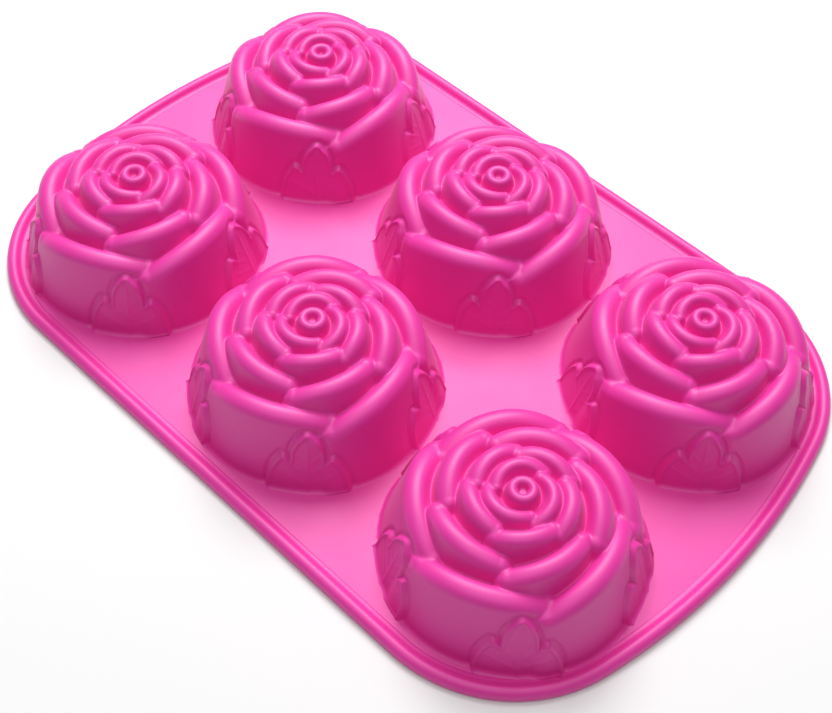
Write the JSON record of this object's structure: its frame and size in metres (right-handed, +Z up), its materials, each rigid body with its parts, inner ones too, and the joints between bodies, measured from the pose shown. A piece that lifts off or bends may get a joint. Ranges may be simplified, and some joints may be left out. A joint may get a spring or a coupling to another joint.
{
  "type": "silicone soap mould",
  "caption": "Flexible one-piece silicone mould tray with rose-shaped cups in two rows, lying upside down on its open side.",
  "frame": {"origin": "middle of the flat underside, at table height", "axes": "+X along the row of three cups, +Y across the two rows, +Z up through the crowns of the roses"},
  "size_m": [0.268, 0.1796, 0.0358],
  "materials": {
    "silicone": "satin moulded"
  },
  "bodies": {
    "root": {"deck": "silicone", "rim": "silicone", "rose_1_skirt": "silicone", "rose_1_leaf_sprigs": "silicone", "rose_1_outer_petals": "silicone", "rose_1_inner_petals": "silicone", "rose_1_bud": "silicone", "rose_2_skirt": "silicone", "rose_2_leaf_sprigs": "silicone", "rose_2_outer_petals": "silicone", "rose_2_inner_petals": "silicone", "rose_2_bud": "silicone", "rose_3_skirt": "silicone", "rose_3_leaf_sprigs": "silicone", "rose_3_outer_petals": "silicone", "rose_3_inner_petals": "silicone", "rose_3_bud": "silicone", "rose_4_skirt": "silicone", "rose_4_leaf_sprigs": "silicone", "rose_4_outer_petals": "silicone", "rose_4_inner_petals": "silicone", "rose_4_bud": "silicone", "rose_5_skirt": "silicone", "rose_5_leaf_sprigs": "silicone", "rose_5_outer_petals": "silicone", "rose_5_inner_petals": "silicone", "rose_5_bud": "silicone", "rose_6_skirt": "silicone", "rose_6_leaf_sprigs": "silicone", "rose_6_outer_petals": "silicone", "rose_6_inner_petals": "silicone", "rose_6_bud": "silicone"}
  },
  "joints": []
}
